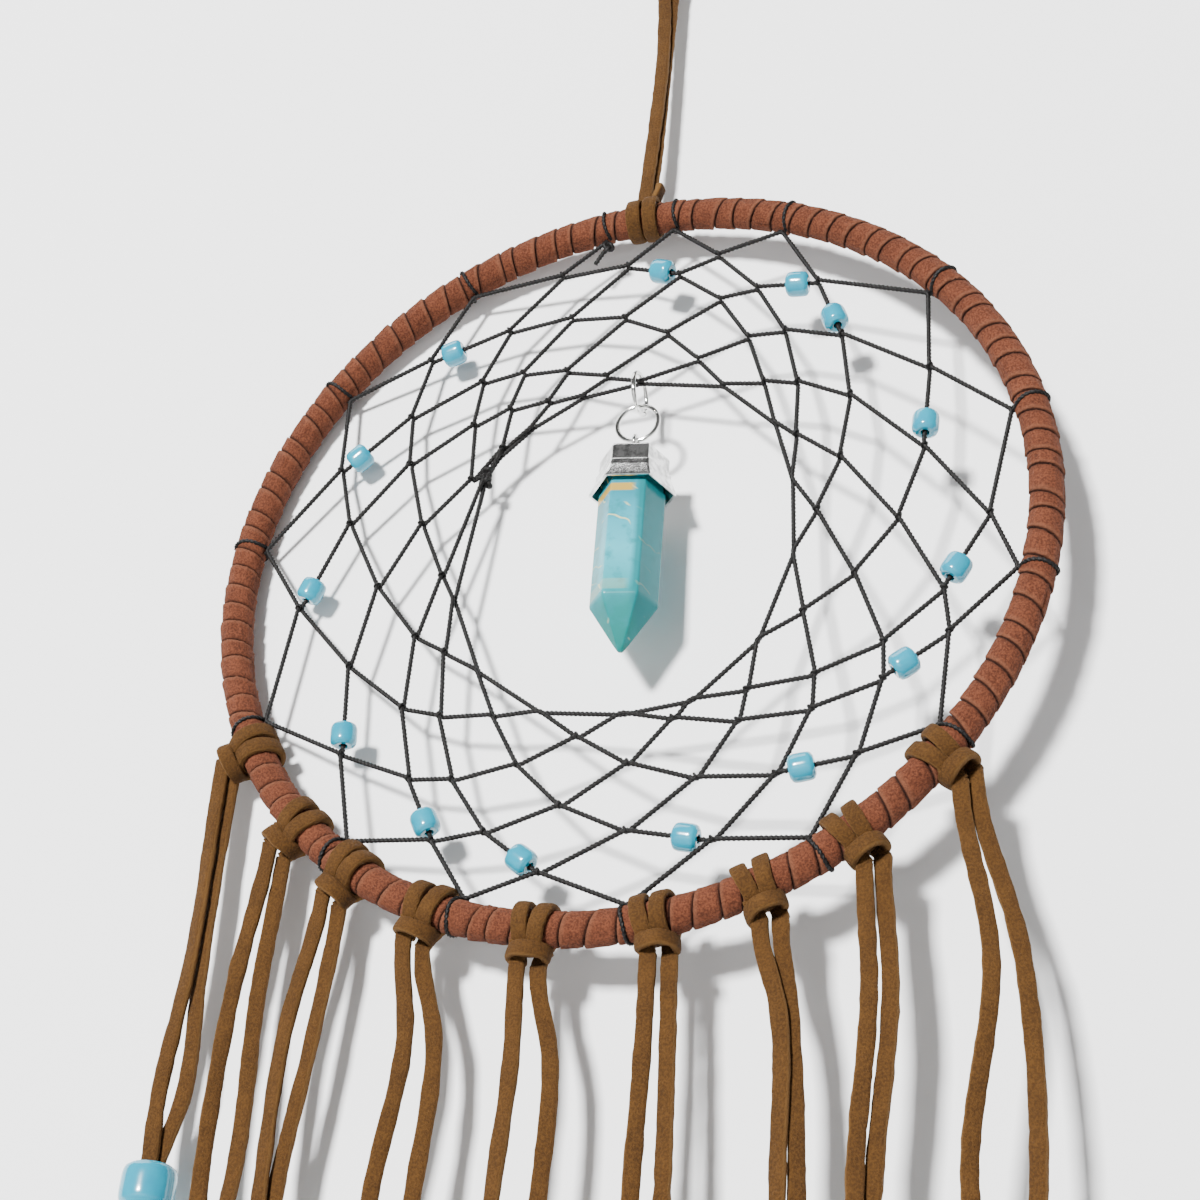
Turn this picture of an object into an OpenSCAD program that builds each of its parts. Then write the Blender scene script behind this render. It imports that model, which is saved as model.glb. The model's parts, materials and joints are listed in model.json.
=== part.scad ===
// Dream catcher: a wire ring bound in suede, a web of one waxed thread with
// fourteen beads, a stone point hanging in the web's opening, and nine folded
// laces that each carry a bead and a feather. It hangs from a loop of lace.
// Origin at the inside top of that loop. +Z up, +Y towards the wall, mm.

/* [Hoop] */
// Outside diameter of the bound hoop
hoop_d = 160; // [156:1:166]
// Thickness of the hoop with its suede binding
wrap_d = 5.9; // [5.6:0.1:6.2]
// Diameter of the ring's core wire
core_d = 3; // [2:0.1:3.4]

/* [Web] */
// Diameter of the waxed thread
thread_d = 0.9; // [0.7:0.05:0.95]
// Diameter of a bead on the web
web_bead_d = 4.9; // [4.2:0.1:5.2]
// Length of a bead on the web
web_bead_len = 4.4; // [3.6:0.1:4.8]
// Bore of a bead on the web
web_bead_bore = 1.5; // [1.4:0.1:1.8]

/* [Stone point] */
// Width of the stone across its corners
stone_w = 12.6; // [11:0.1:13]
// Length of the stone below its cap
stone_len = 33.5; // [28:0.5:38]
// Length of the stone's pointed end
point_len = 9; // [6:0.5:12]
// Width of the cap's skirt across its corners
skirt_w = 16.4; // [15.6:0.2:18]
// Middle diameter of a jump ring
link_d = 8.1; // [8:0.1:8.4]
// Wire of a jump ring
link_wire = 0.9; // [0.7:0.1:0.9]

/* [Laces] */
// Width of the suede lace
lace_w = 3; // [2.6:0.1:3]
// Thickness of the suede lace
lace_t = 1.4; // [1.2:0.1:1.4]
// Diameter of a bead on a tassel
tassel_bead_d = 9.2; // [8:0.1:10]
// Length of a bead on a tassel
tassel_bead_len = 7; // [6:0.1:8]
// Bore of a bead on a tassel
tassel_bead_bore = 3.4; // [3.2:0.1:4]

/* [Feathers] */
// Length of a feather below its bead
feather_len = 80; // [60:1:100]
// Width of a feather's vane
feather_w = 15; // [10:0.5:15]
// Thickness of the space that a vane takes up
feather_t = 1.6; // [1.2:0.1:1.6]

/* [Hidden] */
web_beads = 14;
tassels = 9;
$fn = 48;

// The hoop's centre lies under the hang point.
loop_h = 95;
hoop_z = -loop_h - hoop_d / 2;
hoop_r = (hoop_d - wrap_d) / 2;

function unit(v) = v / norm(v);
function polar(r, a) = [r * cos(a), 0, r * sin(a) + hoop_z];
function tangent(a) = [-sin(a), 0, cos(a)];

// ---- The web: where the one thread is hitched and where it crosses itself ----

// Angles of the fifteen hitches round the hoop; the last lies past a full turn.
hitch_deg = [96, 119, 145, 174, 205, 231, 252, 275, 300, 322, 347, 373, 399, 427, 445];
hitches = len(hitch_deg);
hitch_r = hoop_r - (wrap_d + thread_d) / 2 - 0.05;
// Each round pulls the crossings inwards, to this share of their distance out.
round_pull = [0.92, 0.93, 0.92, 0.90, 0.89, 0.93];
// Hand-made unevenness along each slanting line of crossings, in percent:
// how much tighter it is pulled, and how far it slides along its span.
line_pull = [0, 2, -1, -2, -2, -3, -1, 1, 0, 0, 0, 2, -3, -2, -1, 1, -2, -1, 1, 3, 7];
line_slip = [0, -12, 0, -4, -8, 4, 8, -6, 4, 6, 4, -14, 4, 12, 2, -8, 4, 18, 2, 2, -14];
// The web's own middle sits a little above the hoop's.
web_mid = [0, 1.5];
rounds = len(round_pull);
crossings = hitches * (rounds + 1);
last_round = hitches * rounds;
// The last round starts further back, where the thread is tied off.
tie_slip = 0.6;

// Crossing n hangs on the span between crossings n - 15 and n - 14.
function crossing(web, n) =
    let(k = floor(n / hitches) - 1,
        line = n - (hitches - 1) * (k + 1),
        slip = 0.48 - 0.01 * k + line_slip[line] / 100 - (n == last_round ? tie_slip : 0),
        pull = round_pull[k] * (1 + line_pull[line] / 100),
        on_span = (1 - slip) * web[n - hitches] + slip * web[n - hitches + 1])
    web_mid + (on_span - web_mid) * pull;
function grow(web) =
    len(web) == crossings ? web : grow(concat(web, [crossing(web, len(web))]));
web = grow([for (a = hitch_deg) hitch_r * [cos(a), sin(a)]]);

// At a crossing the later round lies behind the earlier one.
lift = thread_d / 2 + 0.02;
function at(n, y) = [web[n].x, y, web[n].y + hoop_z];
tie_off = at(last_round, lift);
thread = concat(
    [for (n = [0:last_round - 1]) each [at(n, n < hitches ? 0 : lift), at(n + hitches, -lift)]],
    [for (n = [last_round:crossings - 1]) at(n, lift)],
    [tie_off + 1.5 * unit(at(crossings - 1, lift) - tie_off)]);
row_steps = 2 * hitches;

// ---- Tubes ----

// Joins rings of equally many points into one closed tube.
module loft(rings) {
    n = len(rings[0]);
    m = len(rings);
    polyhedron(
        points = [for (ring = rings) each ring],
        faces = concat(
            [[for (k = [n - 1:-1:0]) k]],
            [for (j = [0:m - 2], k = [0:n - 1])
                [j * n + k, j * n + (k + 1) % n, (j + 1) * n + (k + 1) % n]],
            [for (j = [0:m - 2], k = [0:n - 1])
                [j * n + k, (j + 1) * n + (k + 1) % n, (j + 1) * n + k]],
            [[for (k = [0:n - 1]) (m - 1) * n + k]]));
}

// Direction into, and out of, point i of a path.
function step_in(path, i) = let(j = max(i, 1)) unit(path[j] - path[j - 1]);
function step_out(path, i) = let(j = min(i, len(path) - 2)) unit(path[j + 1] - path[j]);

// A ring round point i, in the plane that halves the bend there.
thread_sides = 6;
function thread_ring(path, i) =
    let(into = step_in(path, i),
        along = unit(into + step_out(path, i)),
        side = unit(cross(along, [0, 1, 0])),
        up = cross(side, along),
        r = thread_d / 2)
    [for (k = [0:thread_sides - 1])
        let(a = 360 * k / thread_sides)
        path[i] + r * cos(a) / max(0.5, along * into) * side + r * sin(a) * up];

// A flat lace along rows of [x, y, z, turn of its width about the upright].
lace_sides = 8;
function spot(row) = [row[0], row[1], row[2]];
function lace_ring(path, turn, i) =
    let(along = unit(step_in(path, i) + step_out(path, i)),
        flat = [cos(turn), sin(turn), 0],
        wide = unit(flat - (flat * along) * along),
        thick = cross(along, wide))
    [for (k = [0:lace_sides - 1])
        let(a = 360 * k / lace_sides)
        path[i] + lace_w / 2 * cos(a) * wide - lace_t / 2 * sin(a) * thick];
module lace(route) {
    path = [for (row = route) spot(row)];
    loft([for (i = [0:len(route) - 1]) lace_ring(path, route[i][3], i)]);
}

// ---- Hoop ----

module ring_core() {
    color("silver") translate([0, 0, hoop_z]) rotate([90, 0, 0])
        rotate_extrude($fn = 96) translate([hoop_r, 0]) circle(d = core_d);
}

// A long suede strip wound round the wire, edge to edge.
module suede_wrap() {
    color("sienna") translate([0, 0, hoop_z]) rotate([90, 0, 0])
        rotate_extrude($fn = 96) translate([hoop_r, 0]) difference() {
            circle(d = wrap_d);
            circle(d = core_d + 0.1);
        }
}

// ---- Web ----

module web_row(k) {
    first = row_steps * (k - 1);
    last = k == rounds ? len(thread) - 1 : row_steps * k;
    color("black") loft([for (i = [first:last]) thread_ring(thread, i)]);
}

// Places its children at an angle round the hoop: X outwards, Z along the tube.
module on_hoop(a) {
    translate(polar(hoop_r, a)) rotate([0, -a, 0]) children();
}

// The thread's turn round the hoop at each hitch.
module web_hitches() {
    color("black") for (a = hitch_deg) on_hoop(a)
        rotate_extrude() translate([(wrap_d + thread_d) / 2 + 0.03, 0]) circle(d = thread_d, $fn = 24);
}

// The knot that starts the thread, beside the first hitch, and the one that ends it.
module web_knots() {
    color("black") {
        translate(polar(hitch_r - 1.6, hitch_deg[0])) {
            sphere(d = 3, $fn = 32);
            rotate([0, 215, 0]) cylinder(d = thread_d, h = 4.5, $fn = 24);
        }
        translate(tie_off) {
            for (z = [-1.4, 1.4]) translate([0, 0, z]) sphere(d = 2.7, $fn = 32);
            cylinder(d = 2, h = 3, center = true, $fn = 24);
            rotate([0, 190, 0]) cylinder(d = thread_d, h = 5.5, $fn = 24);
        }
    }
}

// ---- Beads on the web ----

// Bead i is threaded on the web's second round; one sits a span further in.
first_bead_step = row_steps + 1;
odd_bead = 13;
function bead_step(i) = first_bead_step + 2 * (i - 1) - (i == odd_bead ? 1 : 0);
function step_crossing(j) = j % 2 == 0 ? j / 2 : (j - 1) / 2 + hitches;
// The path steps at the lower and the upper end of the bead's span.
function bead_ends(i) =
    let(j = bead_step(i)) thread[j].z < thread[j + 1].z ? [j, j + 1] : [j + 1, j];
function bead_axis(i) = let(e = bead_ends(i)) unit(thread[e[1]] - thread[e[0]]);

// How near the bead's middle comes to a crossing before it meets another thread.
bead_clear = thread_d / 2 + 0.15;
bead_end_r = web_bead_d / 2 - 0.45;
function angle(u, v) = acos(u * v / norm(u) / norm(v));
function bead_stop(n, other) =
    let(gaps = [for (m = [n - hitches, n - hitches + 1, n + hitches - 1, n + hitches])
            if (m != other) angle(web[m] - web[n], web[other] - web[n])],
        b = min(gaps))
    max(web_bead_len / 2 + (bead_clear + bead_end_r * cos(b)) / sin(b),
        (bead_clear + web_bead_d / 2 * cos(b)) / sin(b));
function bead_low(i) =
    let(e = bead_ends(i)) bead_stop(step_crossing(e[0]), step_crossing(e[1]));
function bead_high(i) =
    let(e = bead_ends(i)) bead_stop(step_crossing(e[1]), step_crossing(e[0]));
function bead_at(i) = thread[bead_ends(i)[0]] + bead_low(i) * bead_axis(i);
function bead_travel(i) =
    let(e = bead_ends(i)) norm(thread[e[1]] - thread[e[0]]) - bead_low(i) - bead_high(i);

// A barrel-shaped bead with its bore along Z.
module barrel(d, len, end_r, bore) {
    bands = 8;
    rotate_extrude() polygon(concat(
        [for (k = [-bands / 2:bands / 2])
            let(z = len * k / bands, s = 2 * k / bands)
            [end_r + (d / 2 - end_r) * sqrt(1 - s * s * s * s), z]],
        [[bore / 2, len / 2], [bore / 2, -len / 2]]));
}

module web_bead(i) {
    axis = bead_axis(i);
    color("turquoise") translate(bead_at(i))
        rotate([0, acos(axis.z), atan2(axis.y, axis.x)])
            barrel(web_bead_d, web_bead_len, bead_end_r, web_bead_bore);
}

// ---- Stone point and its rings ----

// The chain hangs on the last round, at the crossing at the top of the opening.
hang_crossing = crossings - 4;
pendant_x = web[hang_crossing].x;
thread_z = web[hang_crossing].y + hoop_z;
link_r = link_d / 2;
// Play of a ring on the thread, of a ring in a ring, and of the eye in a ring.
upper_link_z = thread_z - (link_r - link_wire / 2 - thread_d / 2 - 0.35);
upper_foot_z = upper_link_z - link_r;
lower_link_z = upper_foot_z + link_wire + 0.15 - link_r;
lower_foot_z = lower_link_z - link_r;
eye_wire = 0.7;
eye_r = 1 + eye_wire / 2;
eye_z = lower_foot_z + link_wire / 2 + 0.12 - 1;
cap_top = eye_z - eye_r;
// The point's flat sides are turned a little from the web's plane.
stone_turn = 11;

module link() {
    rotate_extrude() translate([link_r, 0]) circle(d = link_wire, $fn = 24);
}

module upper_jump_ring() {
    color("silver") translate([pendant_x, 0, upper_link_z]) rotate([0, 90, 0]) link();
}

module lower_jump_ring() {
    color("silver") translate([pendant_x, 0, lower_link_z]) rotate([90, 0, 0]) link();
}

// A small wire eye whose stem goes down into the neck of the cap.
stem_len = 1.4;
module pendant_eye() {
    color("silver") {
        translate([pendant_x, 0, eye_z]) rotate([0, 90, 0])
            rotate_extrude() translate([eye_r, 0]) circle(d = eye_wire, $fn = 24);
        translate([pendant_x, 0, cap_top - stem_len])
            cylinder(d = eye_wire, h = stem_len, $fn = 24);
    }
}

// A short round neck on a six-sided cup, whose skirt flares over the top of the stone.
neck_w = 2.8;
neck_h = 2.4;
collar_w = stone_w + 0.6;
collar_h = 3.8;
skirt_h = 4.4;
cap_h = neck_h + collar_h + skirt_h;
cap_roof = 1;
cup_w = stone_w - 0.8;
module pendant_cap() {
    color("silver") translate([pendant_x, 0, cap_top - eye_wire / 2]) rotate(stone_turn)
        difference() {
            union() {
                translate([0, 0, -neck_h - 0.2]) cylinder(d1 = neck_w + 0.8, d2 = neck_w, h = neck_h + 0.2);
                translate([0, 0, -neck_h - collar_h]) cylinder(d = collar_w, h = collar_h, $fn = 6);
                translate([0, 0, -cap_h]) cylinder(d1 = skirt_w, d2 = collar_w, h = skirt_h, $fn = 6);
            }
            translate([0, 0, -cap_h - 1])
                cylinder(d = cup_w, h = cap_h + 1 - neck_h - cap_roof, $fn = 6);
            translate([0, 0, -cap_h - 0.01])
                cylinder(d1 = skirt_w - 1.2, d2 = cup_w, h = skirt_h - 0.4, $fn = 6);
            translate([0, 0, -stem_len - 0.6]) cylinder(d = eye_wire + 0.1, h = stem_len + 1, $fn = 24);
        }
}

// A six-sided stone, cut to a point below and dressed slimmer inside the cap.
shank_w = stone_w - 1;
shank_len = skirt_h + collar_h - cap_roof - 0.4;
module pendant_crystal() {
    foot = cap_top - eye_wire / 2 - cap_h;
    color("mediumturquoise") translate([pendant_x, 0, foot]) rotate(stone_turn) {
        translate([0, 0, -0.5]) cylinder(d = shank_w, h = shank_len + 0.5, $fn = 6);
        translate([0, 0, point_len - stone_len]) cylinder(d = stone_w, h = stone_len - point_len, $fn = 6);
        translate([0, 0, -stone_len]) cylinder(d1 = 0.6, d2 = stone_w, h = point_len, $fn = 6);
    }
}

// ---- Hanging loop ----

// Where the loop's lace lies, in heights above the hoop's top edge: up in
// front, round the nail and down behind, turning edge-on at the nail.
loop_route = [
    [0.0, -0.8, 0.8, 0],
    [0.7, -0.8, 18, 0],
    [1.4, -0.8, 46, 0],
    [-0.2, -0.7, 68, 30],
    [-3.6, -0.3, 83, 70],
    [-4.5, 0, 91, 90],
    [0, 0, 95.7, 90],
    [4.5, 0, 91, 90],
    [4.0, 0.3, 83, 70],
    [2.4, 0.7, 68, 30],
    [1.7, 0.8, 46, 0],
    [1.1, 0.8, 18, 0],
    [0.5, 0.8, 0.8, 0]];

module hanger_loop() {
    color("peru") lace([for (row = loop_route) row - [0, 0, loop_h, 0]]);
}

// One turn of lace round the hoop.
band_in = wrap_d / 2 + 0.02;
band_out = wrap_d / 2 + lace_t;
band_shift = asin((lace_w / 2 + 0.15) / hoop_r);
module band(a) {
    on_hoop(a) difference() {
        cylinder(r = band_out, h = lace_w, center = true);
        cylinder(r = band_in, h = lace_w + 1, center = true);
    }
}

// Two turns side by side, with the cut end of the lace standing up beside them.
module hanger_hitch() {
    color("peru") {
        for (side = [-1, 1]) band(90 + side * band_shift);
        translate([3, -1.4, hoop_z + hoop_d / 2 + 1.9]) rotate([0, 14, 0])
            cube([lace_t, lace_w, 3.4], center = true);
    }
}

// ---- Tassels ----

// One row a tassel: angle of its knot, drop of its bead, sideways lean of the
// bead; then drop and sideways place of the left and the right leg, twice.
tassel_rows = [
    [209, 77, -0.5, 40, 0, 1.5, 62, -1.2, 2.5],
    [224, 84, -1.5, 26, -3.5, 0.5, 58, -3.5, 1.5],
    [235, 92, -2, 24, -4.5, 0, 50, -4.5, -2.5],
    [248, 98, 1, 17, 1, 5.5, 43, -1.5, 5],
    [263, 102, 1, 16, -1, 5, 40, -2, 5],
    [278.5, 102, 0, 14, -1.5, 2, 40, -2, 2.5],
    [291.5, 98, 3, 16, 2, 3.5, 42, 2.5, 5],
    [304.5, 92, -1, 22, -0.5, 2.5, 50, -2.5, 0],
    [318.5, 100, 4, 31, 3, 7.5, 66, -1, 8.5]];
// A tassel swings where its two legs come out of the knot.
pivot_r = hoop_d / 2 + 3.2;
leg_y = 0.8;
leg_spread = 1.6;
leg_in_bead = 3;
// Turn of each feather on its quill.
feather_turn = 52;

function pivot(i) = polar(pivot_r, tassel_rows[i - 1][0]);
function bead_spot(i) = pivot(i) + [tassel_rows[i - 1][2], 0, -tassel_rows[i - 1][1]];
// Leg 0 lies left and in front, leg 1 right and behind.
function leg_route(i, leg) =
    let(row = tassel_rows[i - 1],
        p = pivot(i),
        y = leg == 0 ? -leg_y : leg_y,
        head = p + (leg == 0 ? -1 : 1) * leg_spread * tangent(row[0]),
        foot = bead_spot(i) + [0, 0, tassel_bead_len / 2 - leg_in_bead])
    [[head.x, y, head.z, 0],
     [p.x + row[4 + leg], y, p.z - row[3], 0],
     [p.x + row[7 + leg], y, p.z - row[6], 0],
     [foot.x, y, foot.z, 0]];

// Lark's head of each tassel: two turns round the hoop and the bight in front.
bight_len = 6.5;
bight_h = 4.2;
module tassel_knot(a) {
    for (side = [-1, 1]) band(a + side * band_shift);
    on_hoop(a) translate([2.25, -3, 0]) {
        translate([0, -lace_t / 2, -(bight_len - lace_t) / 2]) cube([bight_h, lace_t, bight_len - lace_t]);
        for (side = [-1, 1]) translate([0, 0, side * (bight_len - lace_t) / 2])
            rotate([0, 90, 0]) cylinder(d = lace_t, h = bight_h);
    }
}

module tassel_knots() {
    color("peru") for (row = tassel_rows) tassel_knot(row[0]);
}

module tassel_lace(i) {
    color("peru") for (leg = [0, 1]) lace(leg_route(i, leg));
}

module tassel_bead(i) {
    color("turquoise") translate(bead_spot(i))
        barrel(tassel_bead_d, tassel_bead_len, tassel_bead_d / 2 - 1.3, tassel_bead_bore);
}

// A leaf-shaped vane on a quill that is glued into the bead from below.
quill_d = 1.6;
quill_len = 10;
module feather(i) {
    steps = 12;
    vane_len = feather_len - quill_len;
    half = [for (k = [0:steps])
        let(u = k / steps)
        [max(0.4, feather_w / 2 * sin(180 * pow(u, 0.8))), -u * vane_len]];
    top = tassel_bead_len / 2 - leg_in_bead;
    color("mediumturquoise") translate(bead_spot(i)) {
        translate([0, 0, -tassel_bead_len / 2 - quill_len - 2])
            cylinder(d = quill_d, h = tassel_bead_len / 2 + quill_len + 2 + top, $fn = 24);
        translate([0, 0, -tassel_bead_len / 2 - quill_len])
            rotate(i % 2 == 0 ? feather_turn : -feather_turn) rotate([90, 0, 0])
                linear_extrude(feather_t, center = true) polygon(concat(
                    half, [for (k = [steps:-1:0]) [-half[k].x, half[k].y]]));
    }
}

// ---- The object ----

ring_core();
suede_wrap();
for (k = [1:rounds]) web_row(k);
web_hitches();
web_knots();
for (i = [1:web_beads]) web_bead(i);
upper_jump_ring();
lower_jump_ring();
pendant_eye();
pendant_cap();
pendant_crystal();
hanger_hitch();
hanger_loop();
tassel_knots();
for (i = [1:tassels]) tassel_lace(i);
for (i = [1:tassels]) tassel_bead(i);
for (i = [1:tassels]) feather(i);
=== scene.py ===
import json
import math

import bpy
import numpy as np
from mathutils import Matrix, Vector


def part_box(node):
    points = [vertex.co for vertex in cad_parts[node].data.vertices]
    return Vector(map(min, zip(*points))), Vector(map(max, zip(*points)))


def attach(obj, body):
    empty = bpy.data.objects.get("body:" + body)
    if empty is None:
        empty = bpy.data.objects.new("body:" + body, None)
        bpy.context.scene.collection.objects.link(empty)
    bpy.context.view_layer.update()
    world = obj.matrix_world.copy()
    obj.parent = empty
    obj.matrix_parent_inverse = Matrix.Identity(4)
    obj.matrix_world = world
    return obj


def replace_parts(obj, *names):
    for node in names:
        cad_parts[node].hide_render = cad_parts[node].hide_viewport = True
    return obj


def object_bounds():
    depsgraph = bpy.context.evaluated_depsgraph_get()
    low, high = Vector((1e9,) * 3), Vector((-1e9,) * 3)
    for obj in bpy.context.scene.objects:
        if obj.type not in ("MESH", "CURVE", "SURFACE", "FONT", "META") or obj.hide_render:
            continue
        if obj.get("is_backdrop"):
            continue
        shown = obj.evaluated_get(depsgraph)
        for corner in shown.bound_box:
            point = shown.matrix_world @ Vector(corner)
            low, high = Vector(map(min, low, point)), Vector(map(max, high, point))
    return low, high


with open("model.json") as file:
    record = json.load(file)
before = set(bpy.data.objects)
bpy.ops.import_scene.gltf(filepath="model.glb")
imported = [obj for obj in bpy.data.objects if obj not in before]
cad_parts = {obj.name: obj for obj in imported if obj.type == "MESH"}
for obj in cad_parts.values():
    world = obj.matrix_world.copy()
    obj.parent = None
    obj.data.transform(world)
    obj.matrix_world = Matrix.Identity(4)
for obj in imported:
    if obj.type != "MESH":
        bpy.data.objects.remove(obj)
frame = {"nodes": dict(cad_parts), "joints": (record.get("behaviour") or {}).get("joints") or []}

cad_low, cad_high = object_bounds()
joints = {joint["name"]: joint for joint in frame["joints"]}
x_axis, y_axis, z_axis = np.eye(3)
MM = 0.001


def corners(name):
    """The low and high corners of a CAD node's box."""
    low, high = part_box(name)
    return np.array(low), np.array(high)


# ---- The view ----
# The catcher hangs a little off a pale wall and is looked up at from its right.
# The wall leans against the hoop's plane, nearest it at the left and at the top.
wrap_low, wrap_high = corners("suede_wrap")
hoop_centre = (wrap_low + wrap_high) / 2
camera_offset = (0.1129, -0.2978, -0.2132)
camera_yaw, camera_pitch, camera_roll = 21.245, 32.046, 4.801
sensor_mm, lens_mm = 36, 63
wall_gap = 0.0118
wall_lean = (-0.10, 1.0, 0.04)
floor_drop = 0.30
stage_size = 8.0
world_strength = 0.17


def camera_axes(yaw, pitch, roll):
    """Right, up and forward for a camera turned left by yaw, up by pitch and
    then rolled about its own line of sight, all in degrees."""
    yaw, pitch, roll = (math.radians(angle) for angle in (yaw, pitch, roll))
    ahead = np.array([-math.sin(yaw), math.cos(yaw), 0.0])
    forward = ahead * math.cos(pitch) + z_axis * math.sin(pitch)
    level = np.array([math.cos(yaw), math.sin(yaw), 0.0])
    over = np.cross(level, forward)
    right = level * math.cos(roll) + over * math.sin(roll)
    up = over * math.cos(roll) - level * math.sin(roll)
    return right, up, forward


right, up, forward = camera_axes(camera_yaw, camera_pitch, camera_roll)
camera_data = bpy.data.cameras.new("camera")
camera_data.sensor_width = sensor_mm
camera_data.lens = lens_mm
camera = bpy.data.objects.new("camera", camera_data)
bpy.context.scene.collection.objects.link(camera)
turn = Matrix([right, up, -forward]).transposed().to_4x4()
camera.matrix_world = Matrix.Translation(Vector(hoop_centre) + Vector(camera_offset)) @ turn
bpy.context.scene.camera = camera


def plain(name, colour, roughness):
    """A smooth one-colour material, for the stage only."""
    material = bpy.data.materials.new(name)
    material.use_nodes = True
    shader = material.node_tree.nodes["Principled BSDF"]
    shader.inputs["Base Color"].default_value = (*colour, 1)
    shader.inputs["Roughness"].default_value = roughness
    return material


def one_sided(material):
    """Lets the back of a sheet be seen through, so the wall hides nothing."""
    nodes, links = material.node_tree.nodes, material.node_tree.links
    mix = nodes.new("ShaderNodeMixShader")
    links.new(nodes.new("ShaderNodeNewGeometry").outputs["Backfacing"], mix.inputs[0])
    links.new(nodes["Principled BSDF"].outputs[0], mix.inputs[1])
    links.new(nodes.new("ShaderNodeBsdfTransparent").outputs[0], mix.inputs[2])
    links.new(mix.outputs[0], nodes["Material Output"].inputs["Surface"])
    return material


def stage_sheet(name, centre, normal, size, material):
    """A square of the given size about a point, facing along its normal."""
    sheet_turn = Vector(normal).to_track_quat("Z", "Y").to_matrix()
    square = np.array([[-1, -1, 0], [1, -1, 0], [1, 1, 0], [-1, 1, 0]]) * size / 2
    mesh = bpy.data.meshes.new(name)
    mesh.from_pydata((square @ np.array(sheet_turn).T + centre).tolist(), [], [[0, 1, 2, 3]])
    mesh.materials.append(material)
    piece = bpy.data.objects.new(name, mesh)
    bpy.context.scene.collection.objects.link(piece)
    piece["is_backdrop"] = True


wall_paint = one_sided(plain("wall_paint", (0.90, 0.90, 0.90), 0.9))
stage_sheet("wall", hoop_centre + [0, wall_gap, 0], -np.array(wall_lean), stage_size, wall_paint)
floor_paint = plain("floor_paint", (0.30, 0.30, 0.30), 0.8)
stage_sheet("floor", np.array([0, -1.5, cad_low.z - floor_drop]), z_axis, stage_size, floor_paint)

world = bpy.data.worlds.new("studio")
world.use_nodes = True
world.node_tree.nodes["Background"].inputs["Color"].default_value = (1.0, 1.0, 1.0, 1)
world.node_tree.nodes["Background"].inputs["Strength"].default_value = world_strength
bpy.context.scene.world = world


def area_light(name, place, size, power):
    """A square light that faces the hoop's centre, in metres and watts."""
    data = bpy.data.lights.new(name, "AREA")
    data.size = size
    data.energy = power
    light = bpy.data.objects.new(name, data)
    bpy.context.scene.collection.objects.link(light)
    light.location = Vector(hoop_centre) + Vector(place)
    light.rotation_euler = (-Vector(place)).to_track_quat("-Z", "Y").to_euler()


area_light("key_light", (-0.26, -2.0, 0.10), 0.26, 138)
area_light("top_light", (-0.65, -0.5, 1.6), 1.1, 20)

# A dark card above the camera, out of the picture, for the silver to reflect.
card_black = plain("card_black", (0.02, 0.02, 0.02), 0.9)
stage_sheet("dark_card", hoop_centre + [-0.55, -1.25, 1.02], (0.35, 0.75, -0.6), 0.9, card_black)

# ---- The hoop: wire and binding ----
# A ring of bright drawn steel wire, hidden under one long strip of russet split
# suede wound round it edge to edge. Each turn's leading edge stands proud and frays
# pale, and a narrow groove is left where it meets the turn before, darkened with
# painted shade.


def group_socket(group, name, kind, way="INPUT"):
    """Adds one named socket to a node group."""
    return group.interface.new_socket(name=name, in_out=way, socket_type=kind)


def colour_node(nodes, colour):
    """A plain colour to feed a mix."""
    node = nodes.new("ShaderNodeRGB")
    node.outputs[0].default_value = (*colour, 1)
    return node.outputs[0]


def colour_mix(nodes, links, factor, first, second):
    """One colour turning into another as a factor goes from 0 to 1."""
    mix = nodes.new("ShaderNodeMix")
    mix.data_type = "RGBA"
    links.new(factor, mix.inputs["Factor"])
    links.new(first, mix.inputs["A"])
    links.new(second, mix.inputs["B"])
    return mix.outputs["Result"]


def product(nodes, links, first, second):
    """Two values multiplied. The second may be a plain number."""
    times = nodes.new("ShaderNodeMath")
    times.operation = "MULTIPLY"
    links.new(first, times.inputs[0])
    if isinstance(second, float):
        times.inputs[1].default_value = second
    else:
        links.new(second, times.inputs[1])
    return times.outputs[0]


def stored(nodes, name):
    """A value kept on the surface's points, from 0 to 1."""
    attribute = nodes.new("ShaderNodeAttribute")
    attribute.attribute_name = name
    return attribute.outputs["Fac"]


def relief(nodes, links, height, strength, distance):
    """Bumps the material's surface by a height, over a distance in metres."""
    bump = nodes.new("ShaderNodeBump")
    bump.inputs["Strength"].default_value = strength
    bump.inputs["Distance"].default_value = distance
    links.new(height, bump.inputs["Height"])
    links.new(bump.outputs["Normal"], nodes["Principled BSDF"].inputs["Normal"])


def noise_of(nodes, links, scale, detail, place=None):
    """Noise in the piece's own space, scale features to the metre."""
    noise = nodes.new("ShaderNodeTexNoise")
    noise.inputs["Scale"].default_value = scale
    noise.inputs["Detail"].default_value = detail
    links.new(place or nodes.new("ShaderNodeTexCoord").outputs["Object"], noise.inputs["Vector"])
    return noise.outputs["Fac"]


def ranged(nodes, links, value, low, high):
    """A value brought from low and high to 0 and 1, and held there."""
    spread = nodes.new("ShaderNodeMapRange")
    spread.inputs["From Min"].default_value = low
    spread.inputs["From Max"].default_value = high
    links.new(value, spread.inputs["Value"])
    return spread.outputs["Result"]


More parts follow.
